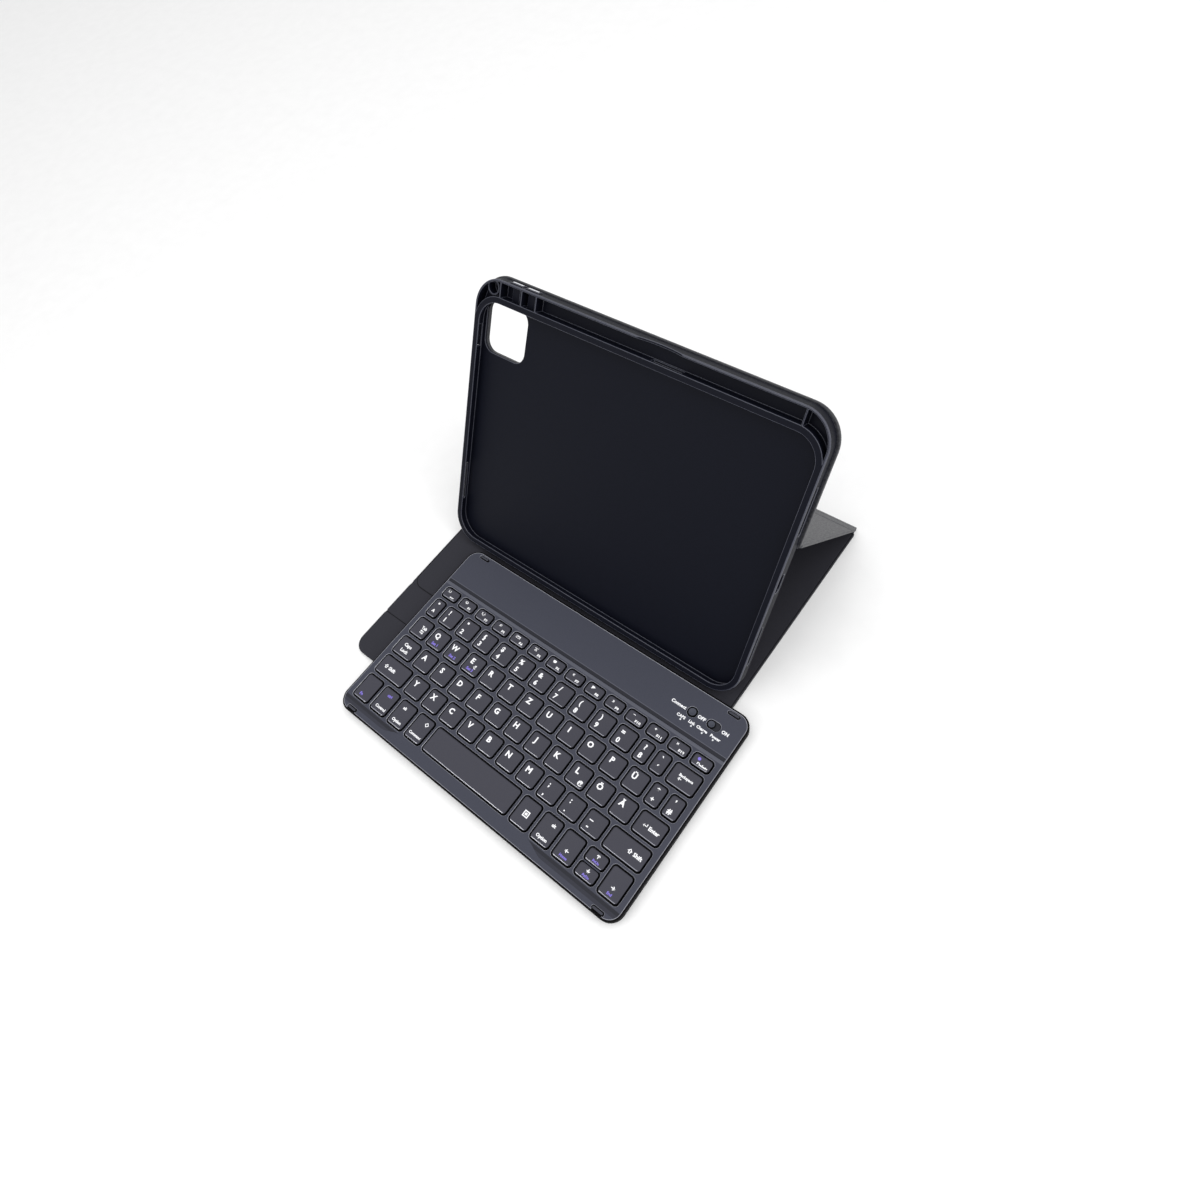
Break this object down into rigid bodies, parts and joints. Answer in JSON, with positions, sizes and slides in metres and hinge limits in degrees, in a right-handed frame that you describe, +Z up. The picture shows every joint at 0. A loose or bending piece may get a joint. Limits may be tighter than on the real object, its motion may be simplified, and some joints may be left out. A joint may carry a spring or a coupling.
{
  "type": "tablet keyboard case",
  "caption": "Folding tablet case with a soft tray, pencil trough, triangular stand, wrap-over flap and a detachable flat keyboard resting on its cover.",
  "frame": {"origin": "middle of the cover's underside, on the table", "axes": "+X along the keyboard to the right, +Y to the rear towards the stand, +Z up"},
  "size_m": [0.2736, 0.314, 0.1697],
  "materials": {
    "outer_skin": "fine grained coated fabric",
    "lining": "brushed microfibre",
    "fibreboard": "pressed fibreboard",
    "adhesive": "double sided sheet",
    "magnet": "nickel plated",
    "soft_shell": "satin moulded",
    "keyboard_case": "fine textured moulding",
    "keycaps": "satin coated",
    "steel_plate": "pressed sheet",
    "membrane_film": "printed film",
    "silicone": "moulded",
    "circuit": "solder mask",
    "battery_foil": "foil pouch",
    "socket_steel": "plated",
    "switch_plastic": "satin",
    "light_guide": "clear moulded",
    "bumper_rubber": "soft"
  },
  "bodies": {
    "cover": {"cover_skin": "outer_skin", "cover_board": "fibreboard", "cover_lining": "lining", "cover_magnets": "magnet"},
    "strip": {"strip_skin": "outer_skin", "strip_board": "fibreboard", "strip_lining": "lining"},
    "flap": {"flap_skin": "outer_skin", "flap_board": "fibreboard", "flap_lining": "lining", "flap_magnets": "magnet"},
    "stand": {"stand_skin": "outer_skin", "spine_board": "fibreboard", "lower_back_board": "fibreboard", "stand_lining": "lining"},
    "shell": {"tpu_shell": "soft_shell", "upper_back_skin": "outer_skin", "upper_back_board": "fibreboard", "shell_adhesive_sheet": "adhesive"},
    "volume_up": {"volume_up_pad": "soft_shell"},
    "volume_down": {"volume_down_pad": "soft_shell"},
    "power": {"power_pad": "soft_shell"},
    "keyboard": {"keyboard_top_case": "keyboard_case", "keyboard_base_cover": "keyboard_case", "key_support_plate": "steel_plate", "switch_membrane": "membrane_film", "dome_sheet": "silicone", "circuit_board": "circuit", "battery_cell": "battery_foil", "charge_socket": "socket_steel", "connect_switch": "switch_plastic", "slide_switch_body": "switch_plastic", "light_guides": "light_guide", "corner_bumpers": "bumper_rubber", "case_screws": "socket_steel"},
    "slider": {"power_slider": "switch_plastic"},
    "connect": {"connect_button": "switch_plastic"},
    "caret_key": {"caret_key": "keycaps"},
    "backspace_key": {"backspace_key": "keycaps"},
    "tab_key": {"tab_key": "keycaps"},
    "caps_lock_key": {"caps_lock_key": "keycaps"},
    "enter_key": {"enter_key": "keycaps"},
    "left_shift_key": {"left_shift_key": "keycaps"},
    "right_shift_key": {"right_shift_key": "keycaps"},
    "fn_key": {"fn_key": "keycaps"},
    "control_key": {"control_key": "keycaps"},
    "left_option_key": {"left_option_key": "keycaps"},
    "command_key": {"command_key": "keycaps"},
    "space_bar": {"space_bar": "keycaps"},
    "symbol_key": {"symbol_key": "keycaps"},
    "right_option_key": {"right_option_key": "keycaps"},
    "left_arrow_key": {"left_arrow_key": "keycaps"},
    "up_arrow_key": {"up_arrow_key": "keycaps"},
    "down_arrow_key": {"down_arrow_key": "keycaps"},
    "right_arrow_key": {"right_arrow_key": "keycaps"},
    "function_keys": {"function_keys": "keycaps"},
    "number_keys": {"number_keys": "keycaps"},
    "top_letter_keys": {"top_letter_keys": "keycaps"},
    "home_letter_keys": {"home_letter_keys": "keycaps"},
    "bottom_letter_keys": {"bottom_letter_keys": "keycaps"}
  },
  "joints": [
    {"name": "stand_fold", "type": "hinge", "parent": "cover", "child": "stand", "pos_m": [0, 0.1377, 0.00125], "axis": [1, 0, 0], "range_deg": [-130.8, 0]},
    {"name": "shell_fold", "type": "hinge", "parent": "stand", "child": "shell", "pos_m": [0, 0.04769, 0.09848], "axis": [1, 0, 0], "range_deg": [0, 74.5]},
    {"name": "strip_fold", "type": "hinge", "parent": "cover", "child": "strip", "pos_m": [0, -0.0739, 0.00125], "axis": [1, 0, 0], "range_deg": [0, 90]},
    {"name": "flap_fold", "type": "hinge", "parent": "strip", "child": "flap", "pos_m": [0, -0.1024, 0.00125], "axis": [1, 0, 0], "range_deg": [0, 90]},
    {"name": "keyboard_lift", "type": "slide", "parent": "cover", "child": "keyboard", "axis": [0, 0, 1], "range_m": [0, 0.06]},
    {"name": "power_switch", "type": "slide", "parent": "keyboard", "child": "slider", "axis": [1, 0, 0], "range_m": [0, 0.0034]},
    {"name": "connect_press", "type": "slide", "parent": "keyboard", "child": "connect", "axis": [0, 0, -1], "range_m": [0, 0.0004], "stiffness_N_per_m": 400},
    {"name": "volume_up_press", "type": "slide", "parent": "shell", "child": "volume_up", "axis": [0, -0.5373, -0.8434], "range_m": [0, 0.0004], "stiffness_N_per_m": 600},
    {"name": "volume_down_press", "type": "slide", "parent": "shell", "child": "volume_down", "axis": [0, -0.5373, -0.8434], "range_m": [0, 0.0004], "stiffness_N_per_m": 600},
    {"name": "power_press", "type": "slide", "parent": "shell", "child": "power", "axis": [1, 0, 0], "range_m": [0, 0.0004], "stiffness_N_per_m": 600},
    {"name": "caret_press", "type": "slide", "parent": "keyboard", "child": "caret_key", "axis": [0, 0, -1], "range_m": [0, 0.0012], "stiffness_N_per_m": 400},
    {"name": "backspace_press", "type": "slide", "parent": "keyboard", "child": "backspace_key", "axis": [0, 0, -1], "range_m": [0, 0.0012], "stiffness_N_per_m": 400},
    {"name": "tab_press", "type": "slide", "parent": "keyboard", "child": "tab_key", "axis": [0, 0, -1], "range_m": [0, 0.0012], "stiffness_N_per_m": 400},
    {"name": "caps_lock_press", "type": "slide", "parent": "keyboard", "child": "caps_lock_key", "axis": [0, 0, -1], "range_m": [0, 0.0012], "stiffness_N_per_m": 400},
    {"name": "enter_press", "type": "slide", "parent": "keyboard", "child": "enter_key", "axis": [0, 0, -1], "range_m": [0, 0.0012], "stiffness_N_per_m": 400},
    {"name": "left_shift_press", "type": "slide", "parent": "keyboard", "child": "left_shift_key", "axis": [0, 0, -1], "range_m": [0, 0.0012], "stiffness_N_per_m": 400},
    {"name": "right_shift_press", "type": "slide", "parent": "keyboard", "child": "right_shift_key", "axis": [0, 0, -1], "range_m": [0, 0.0012], "stiffness_N_per_m": 400},
    {"name": "fn_press", "type": "slide", "parent": "keyboard", "child": "fn_key", "axis": [0, 0, -1], "range_m": [0, 0.0012], "stiffness_N_per_m": 400},
    {"name": "control_press", "type": "slide", "parent": "keyboard", "child": "control_key", "axis": [0, 0, -1], "range_m": [0, 0.0012], "stiffness_N_per_m": 400},
    {"name": "left_option_press", "type": "slide", "parent": "keyboard", "child": "left_option_key", "axis": [0, 0, -1], "range_m": [0, 0.0012], "stiffness_N_per_m": 400},
    {"name": "command_press", "type": "slide", "parent": "keyboard", "child": "command_key", "axis": [0, 0, -1], "range_m": [0, 0.0012], "stiffness_N_per_m": 400},
    {"name": "space_bar_press", "type": "slide", "parent": "keyboard", "child": "space_bar", "axis": [0, 0, -1], "range_m": [0, 0.0012], "stiffness_N_per_m": 400},
    {"name": "symbol_press", "type": "slide", "parent": "keyboard", "child": "symbol_key", "axis": [0, 0, -1], "range_m": [0, 0.0012], "stiffness_N_per_m": 400},
    {"name": "right_option_press", "type": "slide", "parent": "keyboard", "child": "right_option_key", "axis": [0, 0, -1], "range_m": [0, 0.0012], "stiffness_N_per_m": 400},
    {"name": "left_arrow_press", "type": "slide", "parent": "keyboard", "child": "left_arrow_key", "axis": [0, 0, -1], "range_m": [0, 0.0012], "stiffness_N_per_m": 400},
    {"name": "up_arrow_press", "type": "slide", "parent": "keyboard", "child": "up_arrow_key", "axis": [0, 0, -1], "range_m": [0, 0.0012], "stiffness_N_per_m": 400},
    {"name": "down_arrow_press", "type": "slide", "parent": "keyboard", "child": "down_arrow_key", "axis": [0, 0, -1], "range_m": [0, 0.0012], "stiffness_N_per_m": 400},
    {"name": "right_arrow_press", "type": "slide", "parent": "keyboard", "child": "right_arrow_key", "axis": [0, 0, -1], "range_m": [0, 0.0012], "stiffness_N_per_m": 400},
    {"name": "function_press", "type": "slide", "parent": "keyboard", "child": "function_keys", "axis": [0, 0, -1], "range_m": [0, 0.0012], "stiffness_N_per_m": 1600},
    {"name": "number_press", "type": "slide", "parent": "keyboard", "child": "number_keys", "axis": [0, 0, -1], "range_m": [0, 0.0012], "stiffness_N_per_m": 1600},
    {"name": "top_letter_press", "type": "slide", "parent": "keyboard", "child": "top_letter_keys", "axis": [0, 0, -1], "range_m": [0, 0.0012], "stiffness_N_per_m": 1600},
    {"name": "home_letter_press", "type": "slide", "parent": "keyboard", "child": "home_letter_keys", "axis": [0, 0, -1], "range_m": [0, 0.0012], "stiffness_N_per_m": 1600},
    {"name": "bottom_letter_press", "type": "slide", "parent": "keyboard", "child": "bottom_letter_keys", "axis": [0, 0, -1], "range_m": [0, 0.0012], "stiffness_N_per_m": 1600}
  ],
  "couplings": [
    {"joint": "shell_fold", "follows": "stand_fold", "ratio": -0.56699}
  ]
}
